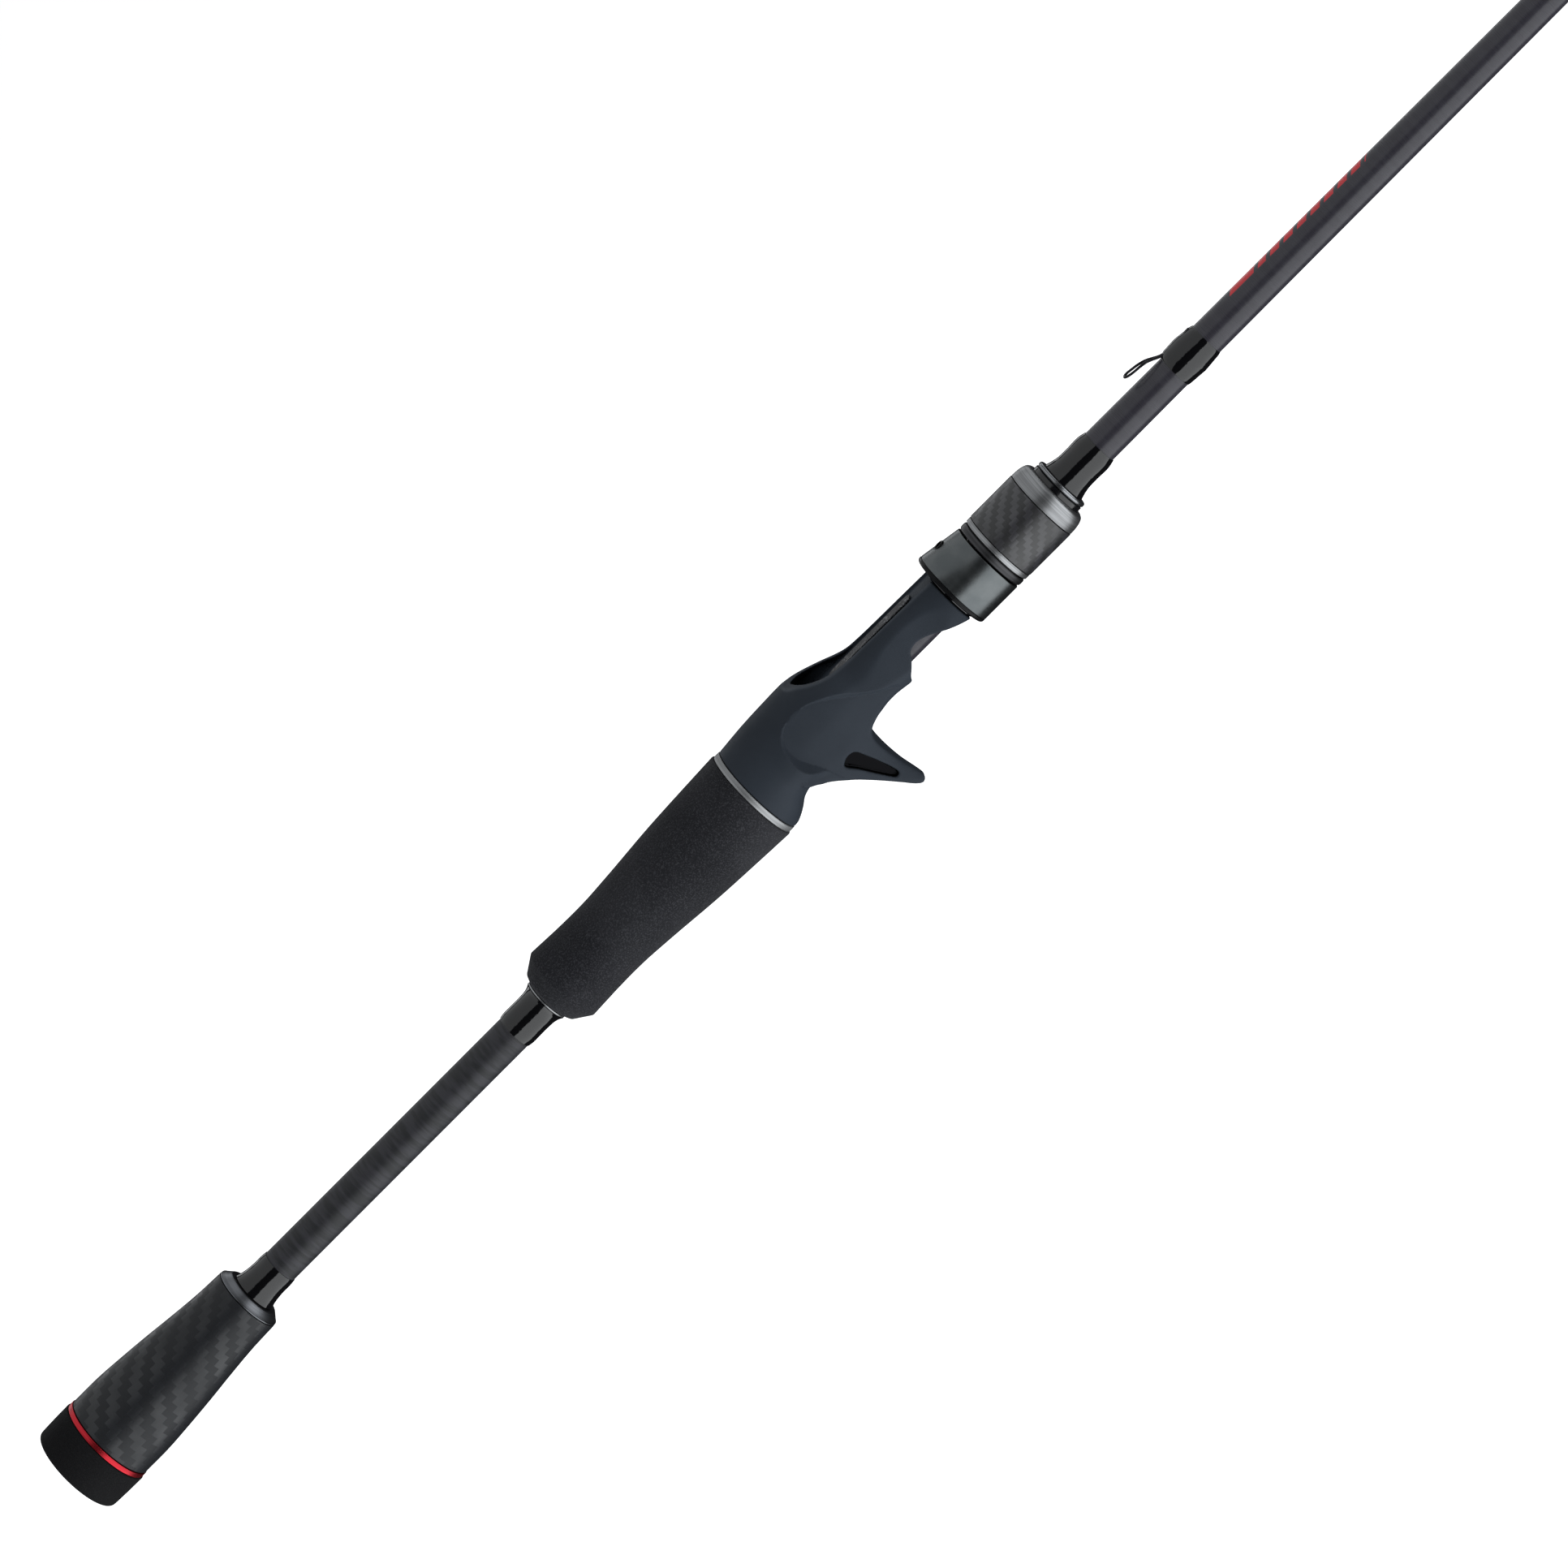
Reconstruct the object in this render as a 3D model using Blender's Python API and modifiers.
"""A bait-casting fishing rod with a trigger reel seat, built part by part.

The rod lies along +X with the centre of its butt face at the origin. The reel and the line guides are
on the +Z side, and the trigger points to -Z. Sizes are millimetres, and MM turns them into metres.
"""

import math

import bmesh
import bpy
import numpy as np
from mathutils import Matrix, Vector

MM = 0.001

# Driving dimensions. A station is a distance along the rod from the butt face.
ROD_LENGTH = 2134.0
FIT = 0.15                # clearance between a piece and what it slides over
SEAM = 0.2                # gap between two pieces that butt together
FINE_MERGE = 1e-7         # metres, far below any edge of the model

BLANK_START = 3.3
BLANK_STATIONS = (3.3, 185.0, 360.0, 442.0, 485.0, 620.0, ROD_LENGTH - 2.0)
BLANK_RADII = (5.85, 5.79, 5.70, 5.62, 5.48, 5.13, 0.92)
BLANK_WALL_BUTT = 1.3
BLANK_WALL_TIP = 0.45
BLANK_SIDES = 20
GRIP_SIDES = 28           # facets around the grips and metal rings
SMALL_SIDES = 14          # facets around the guides' small pieces

CAP_END = 13.05
TRIM_END = 14.95
BUTT_GRIP_END = 75.6
CHECK_CONE_END = 78.4
REAR_GRIP_START = 205.9
REAR_GRIP_END = 292.9
SEAT_START = 295.3
SEAT_END = 422.2
SHOULDER = 376.6          # where the seat's grip body steps down to the threaded barrel
BARREL_RADIUS = 9.04
SEAT_BORE = 7.2           # bore over the arbors, behind SEAT_BORE_STEP
SEAT_BORE_STEP = 342.0
BED_FLOOR = 8.2           # height of the reel foot's channel above the rod's axis
BED_HALF_WIDTH = 5.4
POCKET_START = 315.0
TRIGGER_HALF_WIDTH = 4.2

HOOD_START = 377.5
HOOD_END = 392.6
HOOD_RADIUS = 12.17
HOOD_LIP = 1.4            # how far the liner stands behind the shell
HOOD_RISE = 2.3           # extra height over the reel foot at the hood's open end
HOOD_SHELL = 0.45
LINER_WALL = 0.4
PEG_STATION = 385.1
NUT_BORE = BARREL_RADIUS + FIT
NUT_CORE_RADIUS = 11.0

GUIDES_FROM_TIP = (1180.0, 940.0, 745.0, 580.0, 435.0, 305.0, 190.0, 90.0)
GUIDE_SIZES = (12.0, 10.0, 8.0, 7.0, 6.0, 6.0, 6.0, 6.0)
GUIDE_HEIGHTS = (10.0, 8.6, 7.2, 6.4, 5.6, 5.2, 5.0, 4.8)
GUIDE_TILT = 12.0
RING_SEAT = 0.25          # gap between a ceramic ring and the wire around it
DOUBLE_FOOT_GUIDES = 2    # the guides nearest the reel stand on a foot at each end

parts = None
cutters = None


def start_scene():
    """Clears the scene and makes the two collections."""
    global parts, cutters
    for old in list(bpy.data.objects):
        bpy.data.objects.remove(old)
    parts = bpy.data.collections.new("casting_rod")
    cutters = bpy.data.collections.new("cutters")
    bpy.context.scene.collection.children.link(parts)
    bpy.context.scene.collection.children.link(cutters)


def finish(name, colour, roughness, metallic=0.0):
    """A material with the piece's colour, roughness and metallic value."""
    made = bpy.data.materials.get(name)
    if made is None:
        made = bpy.data.materials.new(name)
        made.use_nodes = True
        shader = made.node_tree.nodes["Principled BSDF"]
        shader.inputs["Base Color"].default_value = (*colour, 1.0)
        shader.inputs["Roughness"].default_value = roughness
        shader.inputs["Metallic"].default_value = metallic
    return made


def carbon():
    return finish("blank_carbon", (0.035, 0.033, 0.040), 0.32)


def eva():
    return finish("eva_foam", (0.018, 0.018, 0.019), 0.9)


def carbon_skin():
    return finish("carbon_skin", (0.030, 0.030, 0.033), 0.45)


def epoxy():
    return finish("wrap_epoxy", (0.010, 0.010, 0.011), 0.12)


def red_anodised():
    return finish("red_anodised", (0.55, 0.01, 0.012), 0.25, 1.0)


def grey_metal():
    return finish("grey_metal", (0.30, 0.30, 0.31), 0.3, 1.0)


def dark_metal():
    return finish("dark_metal", (0.06, 0.06, 0.065), 0.35, 1.0)


def hood_metal():
    return finish("hood_metal", (0.20, 0.21, 0.215), 0.25, 1.0)


def seat_plastic():
    return finish("seat_plastic", (0.022, 0.026, 0.031), 0.5)


def black_plastic():
    return finish("black_plastic", (0.012, 0.012, 0.013), 0.45)


def arbor_foam():
    return finish("arbor_composite", (0.10, 0.10, 0.10), 0.7)


def wire_metal():
    return finish("guide_wire", (0.10, 0.10, 0.105), 0.2, 1.0)


def ceramic():
    return finish("guide_ceramic", (0.03, 0.03, 0.035), 0.1)


def add_object(name, data, material, group):
    """Puts data into the scene as one named object with one material."""
    made = bpy.data.objects.new(name, data)
    group.objects.link(made)
    if material is not None:
        data.materials.append(material)
    return made


def hide_cutter(cutter):
    cutter.hide_render = True
    cutter.display_type = "WIRE"


def mesh_from(name, points, faces):
    """A mesh from points in millimetres, with its faces turned to point out."""
    mesh = bpy.data.meshes.new(name)
    mesh.from_pydata([Vector(point) * MM for point in points], [], faces)
    tidy = bmesh.new()
    tidy.from_mesh(mesh)
    bmesh.ops.recalc_face_normals(tidy, faces=tidy.faces)
    tidy.to_mesh(mesh)
    tidy.free()
    return mesh


def turned(name, outside, material, bore=(), sides=GRIP_SIDES, centre=(0.0, 0.0, 0.0), tilt=0.0, group=None):
    """A turned piece. outside and bore are (station, radius) points from the rear to the front.

    The profile is drawn in the object's XZ plane with its stations along Z, and the object is turned a
    quarter turn about Y, so that Z lies along the rod. A piece with no bore starts and ends on the axis.
    """
    outline = list(reversed(outside)) + list(bore)
    mesh = bpy.data.meshes.new(name)
    points = [(radius * MM, 0.0, station * MM) for station, radius in outline]
    edges = [(i, i + 1) for i in range(len(points) - 1)]
    if bore:
        edges.append((len(points) - 1, 0))
    mesh.from_pydata(points, edges, [])
    made = add_object(name, mesh, material, group or parts)
    made.rotation_euler = (0.0, math.radians(90.0 - tilt), 0.0)
    made.location = Vector(centre) * MM
    screw = made.modifiers.new("turn", "SCREW")
    screw.axis = "Z"
    screw.angle = math.tau
    screw.steps = sides
    screw.render_steps = sides
    screw.use_merge_vertices = True
    screw.merge_threshold = FINE_MERGE
    screw.use_smooth_shade = True
    return made


def ring_loft(name, rings, material, around=36, group=None):
    """A closed skin through rings, the last joined to the first.

    Each ring is (station, radius at an angle), and the angle goes from +Y towards +Z.
    """
    angles = np.arange(around) * math.tau / around
    points = []
    for station, radius_at in rings:
        radii = np.broadcast_to(radius_at(angles), angles.shape)
        points += [(station, r * math.cos(a), r * math.sin(a)) for r, a in zip(radii, angles)]
    faces = []
    for i in range(len(rings)):
        j = (i + 1) % len(rings)
        for k in range(around):
            m = (k + 1) % around
            faces.append((i * around + k, i * around + m, j * around + m, j * around + k))
    return add_object(name, mesh_from(name, points, faces), material, group or parts)


def capped_loft(name, sections, material, group=None):
    """A solid through unlike sections, each a (station, list of (y, z)) with the same number of points."""
    count = len(sections[0][1])
    points = [(station, y, z) for station, section in sections for y, z in section]
    faces = [tuple(range(count)), tuple(range((len(sections) - 1) * count, len(sections) * count))]
    for i in range(len(sections) - 1):
        for k in range(count):
            m = (k + 1) % count
            faces.append((i * count + k, i * count + m, (i + 1) * count + m, (i + 1) * count + k))
    return add_object(name, mesh_from(name, points, faces), material, group or parts)


def to_mesh(curve_object):
    """Replaces a curve object with its evaluated mesh, welded, in the same place and collection."""
    name = curve_object.name
    group = curve_object.users_collection[0]
    graph = bpy.context.evaluated_depsgraph_get()
    mesh = bpy.data.meshes.new_from_object(curve_object.evaluated_get(graph))
    weld = bmesh.new()
    weld.from_mesh(mesh)
    bmesh.ops.remove_doubles(weld, verts=weld.verts, dist=FINE_MERGE)
    bmesh.ops.recalc_face_normals(weld, faces=weld.faces)
    weld.to_mesh(mesh)
    weld.free()
    place = curve_object.matrix_world.copy()
    bpy.data.objects.remove(curve_object)
    made = bpy.data.objects.new(name, mesh)
    group.objects.link(made)
    made.matrix_world = place
    return made


def side_plate(name, outline, half_width, rounding, material, group, resolution=3):
    """A flat outline seen from the side, (station, height) points on a smooth curve, as wide as it says."""
    curve = bpy.data.curves.new(name, "CURVE")
    curve.dimensions = "2D"
    curve.fill_mode = "BOTH"
    curve.resolution_u = resolution
    curve.extrude = (half_width - rounding) * MM
    curve.bevel_depth = rounding * MM
    curve.bevel_resolution = 1
    curve.offset = -rounding * MM
    spline = curve.splines.new("BEZIER")
    spline.bezier_points.add(len(outline) - 1)
    spline.use_cyclic_u = True
    for point, (station, height) in zip(spline.bezier_points, outline):
        point.co = (station * MM, height * MM, 0.0)
        point.handle_left_type = "AUTO"
        point.handle_right_type = "AUTO"
    made = add_object(name, curve, material, group)
    made.rotation_euler = (math.radians(90.0), 0.0, 0.0)
    bpy.context.view_layer.update()
    return to_mesh(made)


def wire(name, points, radius, material, group=None):
    """A round wire through points, in millimetres, with filled ends."""
    curve = bpy.data.curves.new(name, "CURVE")
    curve.dimensions = "3D"
    curve.bevel_depth = radius * MM
    curve.bevel_resolution = 1
    curve.use_fill_caps = True
    spline = curve.splines.new("POLY")
    spline.points.add(len(points) - 1)
    for point, place in zip(spline.points, points):
        point.co = (*(Vector(place) * MM), 1.0)
    return add_object(name, curve, material, group or parts)


def combine(target, other, operation):
    """Adds a Boolean modifier to target and turns other into a hidden cutter."""
    boolean = target.modifiers.new(other.name, "BOOLEAN")
    boolean.operation = operation
    boolean.solver = "EXACT"
    boolean.object = other
    hide_cutter(other)


def blank_radius(station):
    return float(np.interp(station, BLANK_STATIONS, BLANK_RADII))


def blank_bore(start, end):
    """The bore of a piece that slides over the blank, as two points."""
    return [(start, blank_radius(start) + FIT), (end, blank_radius(end) + FIT)]


def make_blank():
    """The tapered carbon tube that everything else is built on, open at both ends."""
    outside = list(zip(BLANK_STATIONS, BLANK_RADII))
    walls = np.interp(BLANK_STATIONS, (BLANK_START, ROD_LENGTH), (BLANK_WALL_BUTT, BLANK_WALL_TIP))
    inside = [(station, radius - wall) for (station, radius), wall in zip(outside, walls)]
    turned("blank", outside, carbon(), bore=inside, sides=BLANK_SIDES)


def make_butt_cap():
    """A foam cap with a closed end, bored for the end of the blank."""
    bore_radius = blank_radius(CAP_END) + FIT
    outside = [(0.0, 0.0), (0.0, 14.3), (0.35, 15.05), (1.1, 15.5), (6.5, 15.68), (CAP_END, 15.75)]
    bore_back = [(CAP_END, bore_radius), (BLANK_START - SEAM, bore_radius), (BLANK_START - SEAM, 0.0)]
    turned("butt_cap", outside + bore_back, eva())


def make_red_trim_ring():
    """An anodised ring between the cap and the grip."""
    start = CAP_END + SEAM
    outside = [(start, 15.25), (start + 0.2, 15.45), (TRIM_END - 0.2, 15.45), (TRIM_END, 15.25)]
    turned("red_trim_ring", outside, red_anodised(), bore=blank_bore(start, TRIM_END))


def make_butt_grip():
    """The butt grip, foam under a carbon skin, which narrows towards the rod's middle."""
    start = TRIM_END + SEAM
    outside = [(start, 15.23), (25.1, 15.17), (35.3, 14.5), (45.4, 13.63), (55.5, 12.59), (65.5, 11.73),
               (BUTT_GRIP_END, 11.33)]
    turned("butt_grip", outside, carbon_skin(), bore=blank_bore(start, BUTT_GRIP_END))


def make_butt_grip_check():
    """The tapered metal ring that finishes the grip's front edge."""
    start = BUTT_GRIP_END + SEAM
    outside = [(start, 11.2), (start + 0.4, 11.1), (CHECK_CONE_END, 8.8)]
    turned("butt_grip_check", outside, dark_metal(), bore=blank_bore(start, CHECK_CONE_END))


def make_handle_wraps():
    """Thread wraps under epoxy where the grips and the seat meet the blank."""
    outlines = {
        "butt_grip_wrap": [(78.7, 7.32), (81.0, 6.62), (84.4, 6.25), (88.6, 6.17), (89.9, 6.05)],
        "rear_grip_wrap": [(191.7, 6.02), (193.4, 6.22), (200.1, 6.3), (203.4, 6.7), (205.0, 7.25)],
        "fore_wrap": [(424.0, 7.37), (425.4, 6.9), (428.0, 6.3), (435.5, 6.12), (438.7, 5.86)],
    }
    for name, outline in outlines.items():
        turned(name, outline, epoxy(), bore=blank_bore(outline[0][0], outline[-1][0]), sides=BLANK_SIDES)


def make_rear_grip():
    """The foam grip behind the reel seat, waisted for the palm, with a thin check at its rear."""
    check = [(205.2, 7.35), (REAR_GRIP_START - SEAM, 7.35)]
    turned("rear_grip_check", check, grey_metal(), bore=blank_bore(check[0][0], check[1][0]),
           sides=BLANK_SIDES)
    outside = [(REAR_GRIP_START, 7.4), (206.6, 9.7), (209.0, 11.8), (212.2, 13.15), (224.8, 12.65), (234.6, 12.66),
               (244.4, 13.26), (264.0, 14.8), (283.5, 15.76), (REAR_GRIP_END, 16.14)]
    turned("rear_grip", outside, eva(), bore=blank_bore(REAR_GRIP_START, REAR_GRIP_END))
    start = REAR_GRIP_END + SEAM
    end = SEAT_START - SEAM
    ring = [(start, 15.75), (end, 15.75)]
    turned("seat_trim_ring", ring, dark_metal(), bore=blank_bore(start, end))


def seat_radius(station):
    """The seat's outer radius over its top and sides."""
    stations = (295.3, 305.4, 313.1, 325.0, 330.0, 335.6, 339.0, 343.0, 353.0, SHOULDER)
    radii = (15.6, 16.46, 16.8, 16.9, 16.5, 15.1, 13.5, 11.7, 11.1, 11.05)
    return float(np.interp(station, stations, radii))


def seat_depth(station):
    """How far the seat's underside is below the axis, without the trigger."""
    stations = (295.3, 297.2, 300.0, 304.6, 308.0, 330.0, 338.0, 341.7, 345.3, 350.1, SHOULDER)
    depths = (15.55, 15.2, 13.9, 10.9, 10.2, 10.2, 9.4, 9.0, 9.1, 9.8, 9.6)
    return float(np.interp(station, stations, depths))


def seat_section(station, around=36):
    """A round section above the axis, and a flattened one below it."""
    width = seat_radius(station)
    depth = seat_depth(station)
    angles = np.arange(around) * math.tau / around
    heights = np.where(np.sin(angles) > 0.0, width, depth) * np.sin(angles)
    return list(zip(width * np.cos(angles), heights))


def round_section(radius, around=36):
    angles = np.arange(around) * math.tau / around
    return list(zip(radius * np.cos(angles), radius * np.sin(angles)))


def make_seat_shape():
    """The seat's grip body and barrel, before the trigger is added and the hollows are cut."""
    stations = [SEAT_START, 297.2, 300.0, 302.4, 304.6, 308.0, 313.1, 319.0, 325.0, 330.0, 333.0, 335.6, 339.0,
                341.7, 345.3, 350.1, 360.0, SHOULDER]
    sections = [(station, seat_section(station)) for station in stations]
    sections.append((SHOULDER + 0.4, round_section(BARREL_RADIUS)))
    sections.append((SEAT_END, round_section(BARREL_RADIUS)))
    return capped_loft("reel_seat_body", sections, seat_plastic())


def make_trigger():
    """The trigger's side outline: a long slope behind, a hooked face in front."""
    outline = [(306.0, -5.5), (309.0, -9.8), (313.0, -12.8), (317.1, -17.2), (322.9, -24.7), (328.9, -32.8),
               (331.0, -34.4), (332.6, -33.2), (332.4, -30.2), (331.3, -24.6), (330.8, -19.0), (331.0, -15.0),
               (332.3, -11.4), (335.5, -9.2), (338.0, -5.5)]
    return side_plate("trigger_form", outline, TRIGGER_HALF_WIDTH, 1.4, None, cutters, resolution=2)


def mouth_cutter():
    """Everything above the slanted mouth of the fixed hood and above the channel's rims."""
    outline = [(321.6, 18.5), (321.6, 16.9), (324.0, 15.1), (326.5, 13.9), (332.0, 11.8), (338.1, 10.1), (343.0, 9.3),
               (353.7, 9.0), (SHOULDER + 0.2, 8.9), (SHOULDER + 0.2, 18.5)]
    points = [(station, side * 20.0, height) for side in (-1.0, 1.0) for station, height in outline]
    count = len(outline)
    faces = [tuple(range(count)), tuple(range(count, 2 * count))]
    faces += [(k, (k + 1) % count, count + (k + 1) % count, count + k) for k in range(count)]
    return add_object("mouth_cutter", mesh_from("mouth_cutter", points, faces), None, cutters)


def pocket_cutter():
    """The half-moon hollow under the fixed hood, which narrows into the channel in front of it."""
    sections = []
    for station in (POCKET_START, 326.0, 332.0, 336.0, 340.0, 344.0):
        wall = float(np.interp(station, (326.0, 344.0), (3.3, 1.7)))
        radius = seat_radius(station) - wall
        first = math.asin(BED_FLOOR / radius)
        angles = np.linspace(first, math.pi - first, 14)
        sections.append((station, [(radius * math.cos(a), radius * math.sin(a)) for a in angles]))
    return capped_loft("pocket_cutter", sections, None, cutters)


def box_cutter(name, low, high):
    """A plain block between two corners, in millimetres."""
    mesh = bpy.data.meshes.new(name)
    block = bmesh.new()
    middle = (Vector(low) + Vector(high)) * (0.5 * MM)
    size = (Vector(high) - Vector(low)) * MM
    bmesh.ops.create_cube(block, size=1.0, matrix=Matrix.Translation(middle) @ Matrix.Diagonal((*size, 1.0)))
    block.to_mesh(mesh)
    block.free()
    return add_object(name, mesh, None, cutters)


def bore_cutter():
    """The stepped bore for the blank and its arbors."""
    front = blank_radius(SEAT_BORE_STEP) + FIT
    outside = [(SEAT_START - 2.0, 0.0), (SEAT_START - 2.0, SEAT_BORE), (SEAT_BORE_STEP, SEAT_BORE),
               (SEAT_BORE_STEP, front), (SEAT_END + 2.0, front), (SEAT_END + 2.0, 0.0)]
    return turned("bore_cutter", outside, None, sides=BLANK_SIDES, group=cutters)


def window_cutter():
    """The arched opening under the seat that leaves the blank bare for the fingertips."""
    outline = [(350.4, -11.5), (352.2, -7.0), (356.3, -3.0), (357.6, -1.3), (361.5, -0.5), (364.5, -1.4),
               (368.0, -3.1), (372.7, -5.8), (375.4, -7.4), (375.4, -11.5), (363.0, -14.0)]
    return side_plate("window_cutter", outline, 14.0, 0.0, None, cutters)


def recess_cutter(side):
    """The slanted slot moulded into one side of the trigger."""
    outline = [(318.4, -12.2), (320.4, -10.7), (323.8, -10.9), (325.4, -13.0), (327.1, -19.5), (328.2, -25.0),
               (327.5, -26.4), (326.0, -25.8), (321.9, -18.5)]
    cutter = side_plate(f"recess_cutter_{'near' if side < 0 else 'far'}", outline, 3.0, 0.0, None, cutters, 2)
    cutter.location.y = side * (TRIGGER_HALF_WIDTH + 1.6) * MM
    return cutter


def make_reel_seat():
    """The moulded seat: trigger, fixed hood, channel for the reel foot, window and barrel in one piece."""
    seat = make_seat_shape()
    combine(seat, make_trigger(), "UNION")
    combine(seat, mouth_cutter(), "DIFFERENCE")
    combine(seat, pocket_cutter(), "DIFFERENCE")
    low = (333.0, -BED_HALF_WIDTH, BED_FLOOR)
    combine(seat, box_cutter("channel_cutter", low, (SHOULDER + 0.2, BED_HALF_WIDTH, 18.0)), "DIFFERENCE")
    combine(seat, bore_cutter(), "DIFFERENCE")
    combine(seat, window_cutter(), "DIFFERENCE")
    combine(seat, recess_cutter(-1.0), "DIFFERENCE")
    combine(seat, recess_cutter(1.0), "DIFFERENCE")


def make_foot_pad():
    """The textured strip that the reel's foot sits on, with rounded ends."""
    pad = box_cutter("reel_foot_pad", (334.5, -2.7, BED_FLOOR + FIT), (368.5, 2.7, 8.95))
    cutters.objects.unlink(pad)
    parts.objects.link(pad)
    pad.data.materials.append(black_plastic())
    bevel = pad.modifiers.new("ends", "BEVEL")
    bevel.width = 0.3 * MM
    bevel.segments = 1


def make_arbors():
    """Two rings that centre the blank in the seat's wide rear bore."""
    for name, start, end in (("rear_arbor", 298.0, 311.0), ("front_arbor", 326.0, 340.0)):
        outside = [(start, SEAT_BORE - FIT), (end, SEAT_BORE - FIT)]
        turned(name, outside, arbor_foam(), bore=blank_bore(start, end), sides=BLANK_SIDES)


def hood_radius(station):
    """The hood's outer radius at each angle: round below, and raised on top over the reel's foot."""
    rise = HOOD_RISE * (HOOD_END - station) / (HOOD_END - HOOD_START)

    def radius_at(angles, inset=0.0):
        from_top = np.abs(np.degrees(angles) % 360.0 - 90.0)
        share = np.clip((68.0 - from_top) / 48.0, 0.0, 1.0)
        return HOOD_RADIUS + rise * share * share * (3.0 - 2.0 * share) - inset

    return radius_at


def hood_ring(station, inset):
    """One ring of the hood's skins, inset from its outer surface."""
    radius_at = hood_radius(station)
    return station, lambda angles: radius_at(angles, inset)


def hood_rings(start, end, inset):
    """Rings from start to end, close enough together that the twisted faces between them stay true."""
    return [hood_ring(station, inset) for station in np.linspace(start, end, 5)]


def plain_ring(station, radius):
    return station, lambda angles: radius


def make_sliding_hood():
    """The metal hood shell with a round hole on top, its plastic liner, and the liner's peg."""
    start = HOOD_START + HOOD_LIP
    rings = hood_rings(start, HOOD_END, 0.0) + hood_rings(HOOD_END, start, HOOD_SHELL)
    shell = ring_loft("sliding_hood", rings, hood_metal())
    drill = [(9.0, 0.0), (9.0, 1.55), (17.0, 1.55), (17.0, 0.0)]
    hole = turned("hood_drill", drill, None, sides=SMALL_SIDES, centre=(PEG_STATION, 0.0, 0.0), tilt=90.0, group=cutters)
    combine(shell, hole, "DIFFERENCE")
    outer = HOOD_SHELL + 0.1
    inner = outer + LINER_WALL
    flange = HOOD_END - 1.3
    rings = [hood_ring(HOOD_START, 0.35), hood_ring(HOOD_START + 0.3, 0.02), hood_ring(start - FIT, 0.0)]
    rings += hood_rings(start - FIT, HOOD_END - 0.1, outer)
    rings += [plain_ring(HOOD_END - 0.1, 9.35), plain_ring(flange, 9.35)]
    rings += hood_rings(flange, HOOD_START, inner)
    ring_loft("hood_liner", rings, black_plastic())
    liner_top = float(hood_radius(PEG_STATION)(np.array([math.pi / 2.0]), outer)[0])
    peg = [(liner_top + FIT, 0.0), (liner_top + FIT, 1.15), (liner_top + 0.75, 1.15), (liner_top + 0.95, 0.8),
           (liner_top + 0.95, 0.0)]
    turned("hood_peg", peg, black_plastic(), sides=SMALL_SIDES, centre=(PEG_STATION, 0.0, 0.0), tilt=90.0)


def make_lock_nut():
    """The lock nut: a threaded core with a carbon sleeve held between metal rings."""
    bore = NUT_CORE_RADIUS + FIT
    turned("nut_core", [(393.0, NUT_CORE_RADIUS), (418.0, NUT_CORE_RADIUS)], black_plastic(),
           bore=[(393.0, NUT_BORE), (418.0, NUT_BORE)])
    rear = [(393.0, 11.85), (393.4, 12.2), (395.0, 12.2), (395.4, 11.95)]
    turned("nut_rear_ring", rear, dark_metal(), bore=[(393.0, bore), (395.4, bore)])
    thin = [(395.8, 12.22), (397.4, 12.22)]
    turned("nut_thin_ring", thin, grey_metal(), bore=[(395.8, bore), (397.4, bore)])
    turned("nut_carbon_sleeve", [(397.6, 12.33), (414.5, 12.33)], carbon_skin(),
           bore=[(397.6, bore), (414.5, bore)])
    front = [(414.7, 12.25), (417.2, 12.08), (419.0, 11.65), (420.0, 11.1), (420.5, 10.5)]
    turned("nut_front_ring", front, grey_metal(),
           bore=[(414.7, bore), (418.2, bore), (418.2, NUT_BORE), (420.5, NUT_BORE)])


def make_seat_end_check():
    """The bright ring at the barrel's end."""
    start = SEAT_END + SEAM
    outside = [(start, 8.8), (start + 0.3, 9.05), (423.4, 9.05), (423.7, 8.8)]
    turned("seat_end_check", outside, grey_metal(), bore=blank_bore(start, 423.7))


def eccentric_wrap(name, start, end, wire_radius, wire_offset):
    """A thread wrap over the blank and the two wires of a foot, which lie on the blank's top."""
    blank = blank_radius(start)
    lift = wire_radius
    wire_height = blank + FIT + wire_radius
    reach = math.hypot(wire_offset, wire_height - lift) + wire_radius + 0.08
    inner = max(blank + FIT + lift, reach)
    wall = 0.28 if blank > 2.5 else 0.2
    outside = [(start, inner + 0.08), (start + 1.2, inner + wall), (end - 1.2, inner + wall), (end, inner + 0.08)]
    turned(name, outside, epoxy(), bore=[(start, inner), (end, inner)], sides=SMALL_SIDES, centre=(0.0, 0.0, lift))


def make_hook_keeper():
    """A wire loop with both ends under a wrap, to park a hook on."""
    half = [(481.5, 0.5, 5.98), (470.4, 0.5, 5.98), (469.4, 0.56, 6.4), (468.0, 0.8, 7.15), (466.0, 1.25, 8.1),
            (463.5, 1.8, 8.75), (461.0, 2.15, 9.05), (459.2, 1.9, 9.3), (458.3, 1.1, 9.42)]
    other = [(station, -side, height) for station, side, height in reversed(half)]
    wire("hook_keeper", half + [(458.0, 0.0, 9.45)] + other, 0.33, wire_metal())
    eccentric_wrap("keeper_wrap", 470.8, 483.1, 0.33, 0.5)


def ring_arc(centre, radius, tilt, gap_degrees, count):
    """Points around a tilted ring from one side of its lowest point over the top to the other side."""
    spread = math.radians(gap_degrees)
    angles = np.linspace(-math.pi / 2.0 + spread, 1.5 * math.pi - spread, count)
    lean = math.radians(tilt)
    ups = radius * np.sin(angles)
    return [(centre[0] + up * math.sin(lean), radius * math.cos(a), centre[2] + up * math.cos(lean))
            for a, up in zip(angles, ups)]


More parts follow.
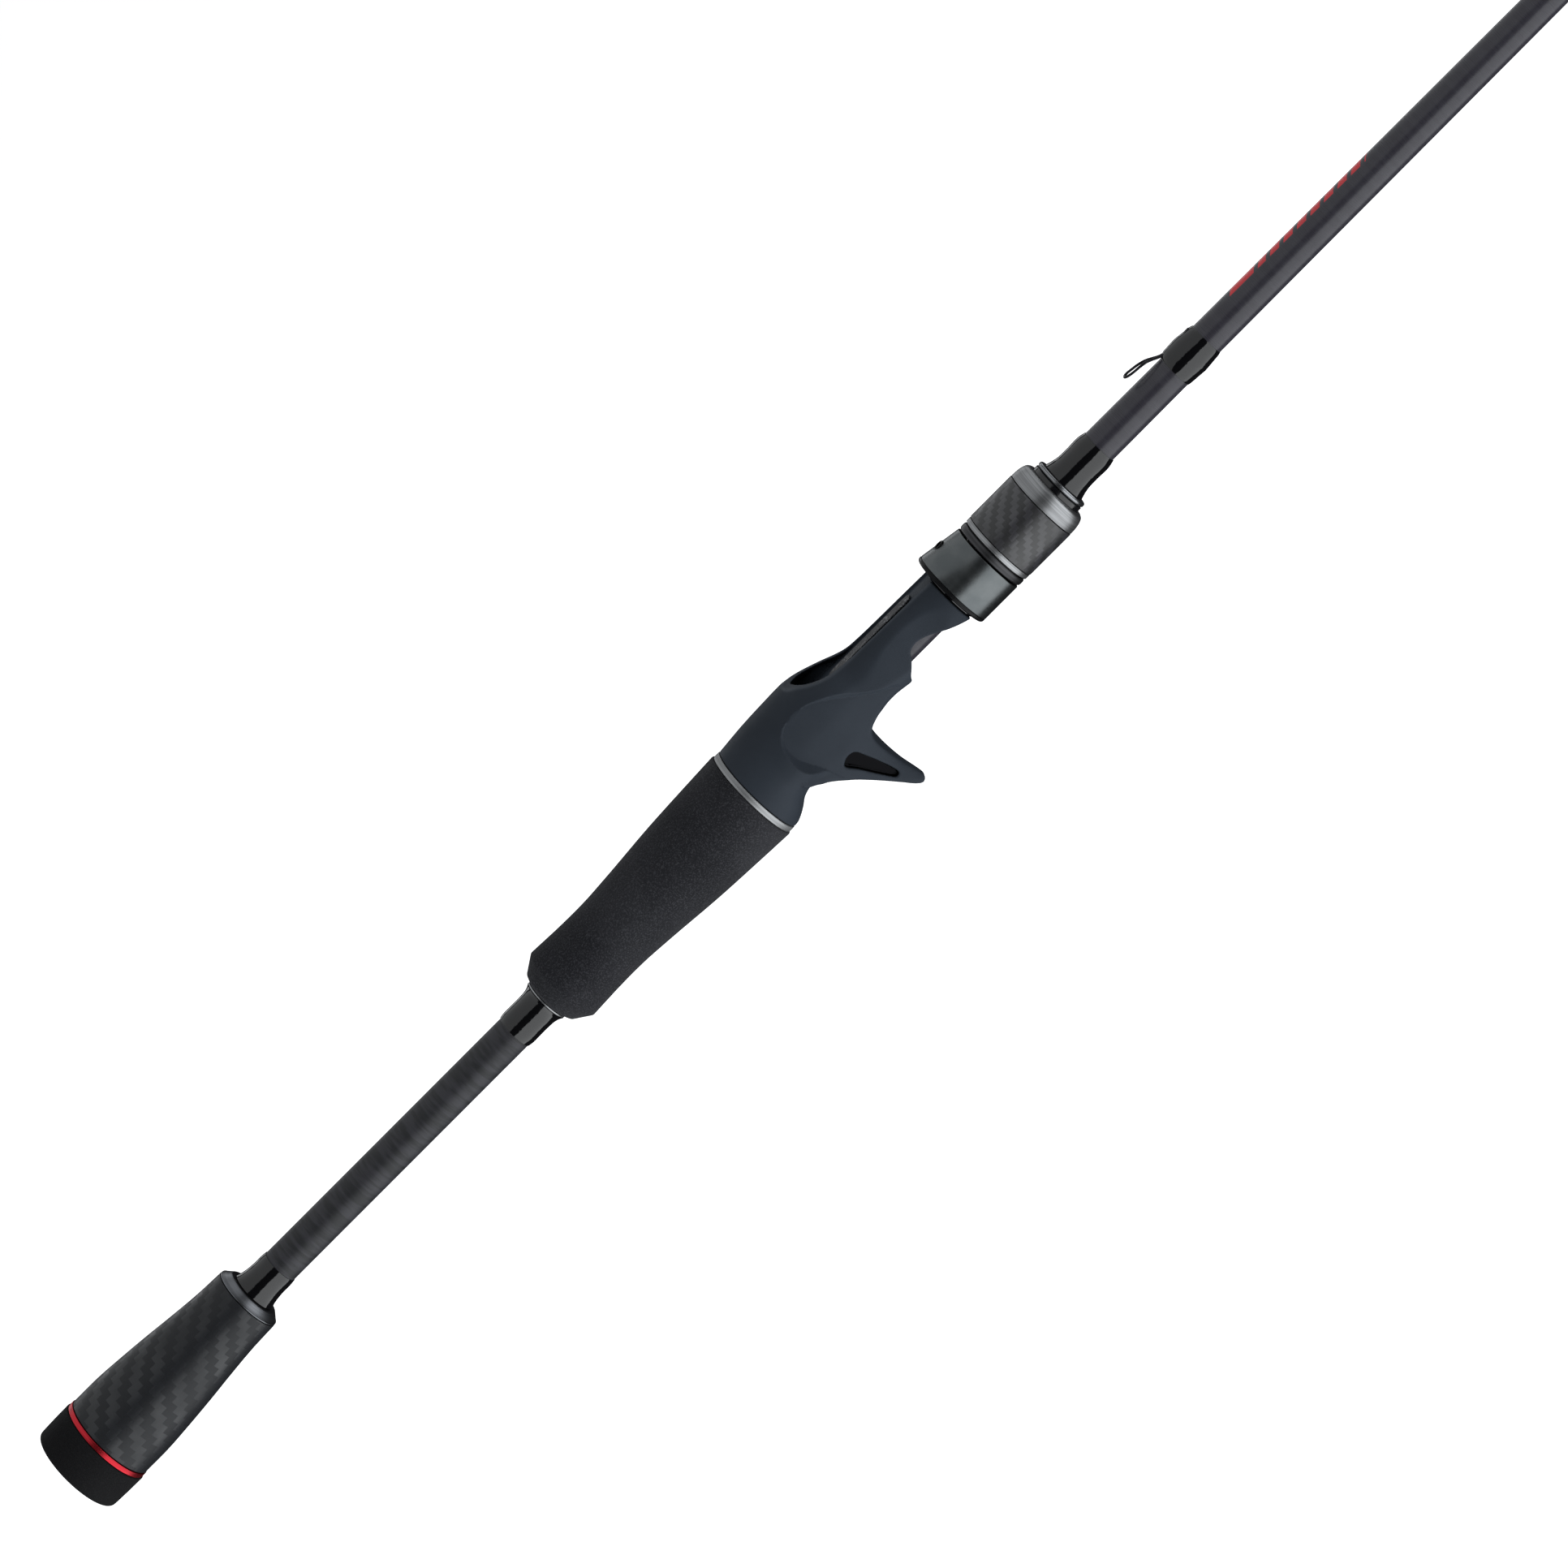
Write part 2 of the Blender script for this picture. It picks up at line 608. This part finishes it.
def guide_frame(name, station, size, height, foot_length, wire_radius, double):
    """A bent-wire guide frame: a foot, two legs, and a loop around the ceramic ring."""
    offset = wire_radius + 0.05
    foot_end = station + foot_length
    foot_height = blank_radius(station) + FIT + wire_radius
    centre = (station, 0.0, blank_radius(station) + height)
    loop = ring_arc(centre, size / 2.0 + RING_SEAT + wire_radius, GUIDE_TILT, 35.0, 12)
    leg = [(foot_end, offset, foot_height), (station + 3.4, offset, foot_height),
           (station + 2.0, offset + 0.15, foot_height + 0.5)]
    other_leg = [(x, -y, z) for x, y, z in reversed(leg)]
    frame = wire(name, leg + loop + other_leg, wire_radius, wire_metal())
    if not double:
        return
    material = wire_metal()
    frame = to_mesh(frame)
    frame.data.materials.append(material)
    rear_end = station - foot_length - 4.0
    rear_height = blank_radius(rear_end) + FIT + wire_radius + 0.02
    for side, touch in ((1.0, loop[0]), (-1.0, loop[-1])):
        brace = [touch, (station - 3.4, side * (offset + 0.5), rear_height + 0.9),
                 (station - 4.8, side * offset, rear_height), (rear_end, side * offset, rear_height)]
        form = wire(f"{name}_brace_{'left' if side > 0 else 'right'}", brace, wire_radius * 0.97, None, cutters)
        bpy.context.view_layer.update()
        combine(frame, to_mesh(form), "UNION")


def guide_ring(name, centre, size, tilt):
    """A polished ceramic ring that the line runs through."""
    outer = size / 2.0
    inner = outer * 0.72
    depth = 0.9 if size > 7.5 else 0.7
    middle = (outer + inner) / 2.0
    outside = [(-depth, middle), (-depth * 0.5, outer), (depth * 0.5, outer), (depth, middle)]
    bore = [(-depth * 0.3, inner), (depth * 0.3, inner)]
    turned(name, outside, ceramic(), bore=bore, sides=SMALL_SIDES, centre=centre, tilt=-tilt)


def make_guides():
    """The line guides, largest near the reel. The two largest stand on two feet."""
    rows = zip(GUIDES_FROM_TIP, GUIDE_SIZES, GUIDE_HEIGHTS)
    for number, (from_tip, size, height) in enumerate(rows, start=1):
        station = ROD_LENGTH - from_tip
        double = number <= DOUBLE_FOOT_GUIDES
        wire_radius = 0.45 if size > 7.5 else 0.32
        foot_length = 6.0 + size
        guide_frame(f"guide_{number}_frame", station, size, height, foot_length, wire_radius, double)
        centre = (station, 0.0, blank_radius(station) + height)
        guide_ring(f"guide_{number}_ring", centre, size, GUIDE_TILT)
        offset = wire_radius + 0.05
        eccentric_wrap(f"guide_{number}_wrap", station + 3.9, station + foot_length + 2.0, wire_radius, offset)
        if double:
            rear_end = station - foot_length - 4.0
            eccentric_wrap(f"guide_{number}_rear_wrap", rear_end - 2.0, station - 5.3, wire_radius, offset)


def make_tip_top():
    """The tip-top: a closed tube over the rod's end that carries the last ring."""
    size = GUIDE_SIZES[-1]
    wire_radius = 0.32
    start = ROD_LENGTH - 14.0
    end = ROD_LENGTH
    bore = blank_radius(start) + FIT
    tube = bore + 0.28
    stop = ROD_LENGTH - 2.0 + SEAM
    inside = [(stop, 0.0), (stop, bore), (start, bore)]
    outside = [(start, tube), (end - 0.4, tube), (end, tube - 0.4), (end, 0.0)]
    turned("tip_top_tube", inside + outside, dark_metal(), sides=SMALL_SIDES)
    centre = (ROD_LENGTH - 3.4, 0.0, 4.9)
    loop = ring_arc(centre, size / 2.0 + RING_SEAT + wire_radius, -GUIDE_TILT, 40.0, 12)
    side = tube + wire_radius + 0.08
    leg = [(start + 2.0, side, 0.0), (ROD_LENGTH - 6.2, side, 0.0), (ROD_LENGTH - 4.2, side + 0.1, 0.9)]
    other_leg = [(x, -y, z) for x, y, z in reversed(leg)]
    wire("tip_top_frame", leg + loop + other_leg, wire_radius, wire_metal())
    guide_ring("tip_top_ring", centre, size, -GUIDE_TILT)
    wrap_start = start - 6.0
    wrap_end = start - SEAM
    wrap = [(wrap_start, blank_radius(wrap_start) + FIT + 0.1), (wrap_start + 1.2, tube - 0.02), (wrap_end, tube)]
    turned("tip_wrap", wrap, epoxy(), bore=blank_bore(wrap_start, wrap_end), sides=SMALL_SIDES)


def main():
    start_scene()
    make_blank()
    make_butt_cap()
    make_red_trim_ring()
    make_butt_grip()
    make_butt_grip_check()
    make_handle_wraps()
    make_rear_grip()
    make_reel_seat()
    make_foot_pad()
    make_arbors()
    make_sliding_hood()
    make_lock_nut()
    make_seat_end_check()
    make_hook_keeper()
    make_guides()
    make_tip_top()


main()
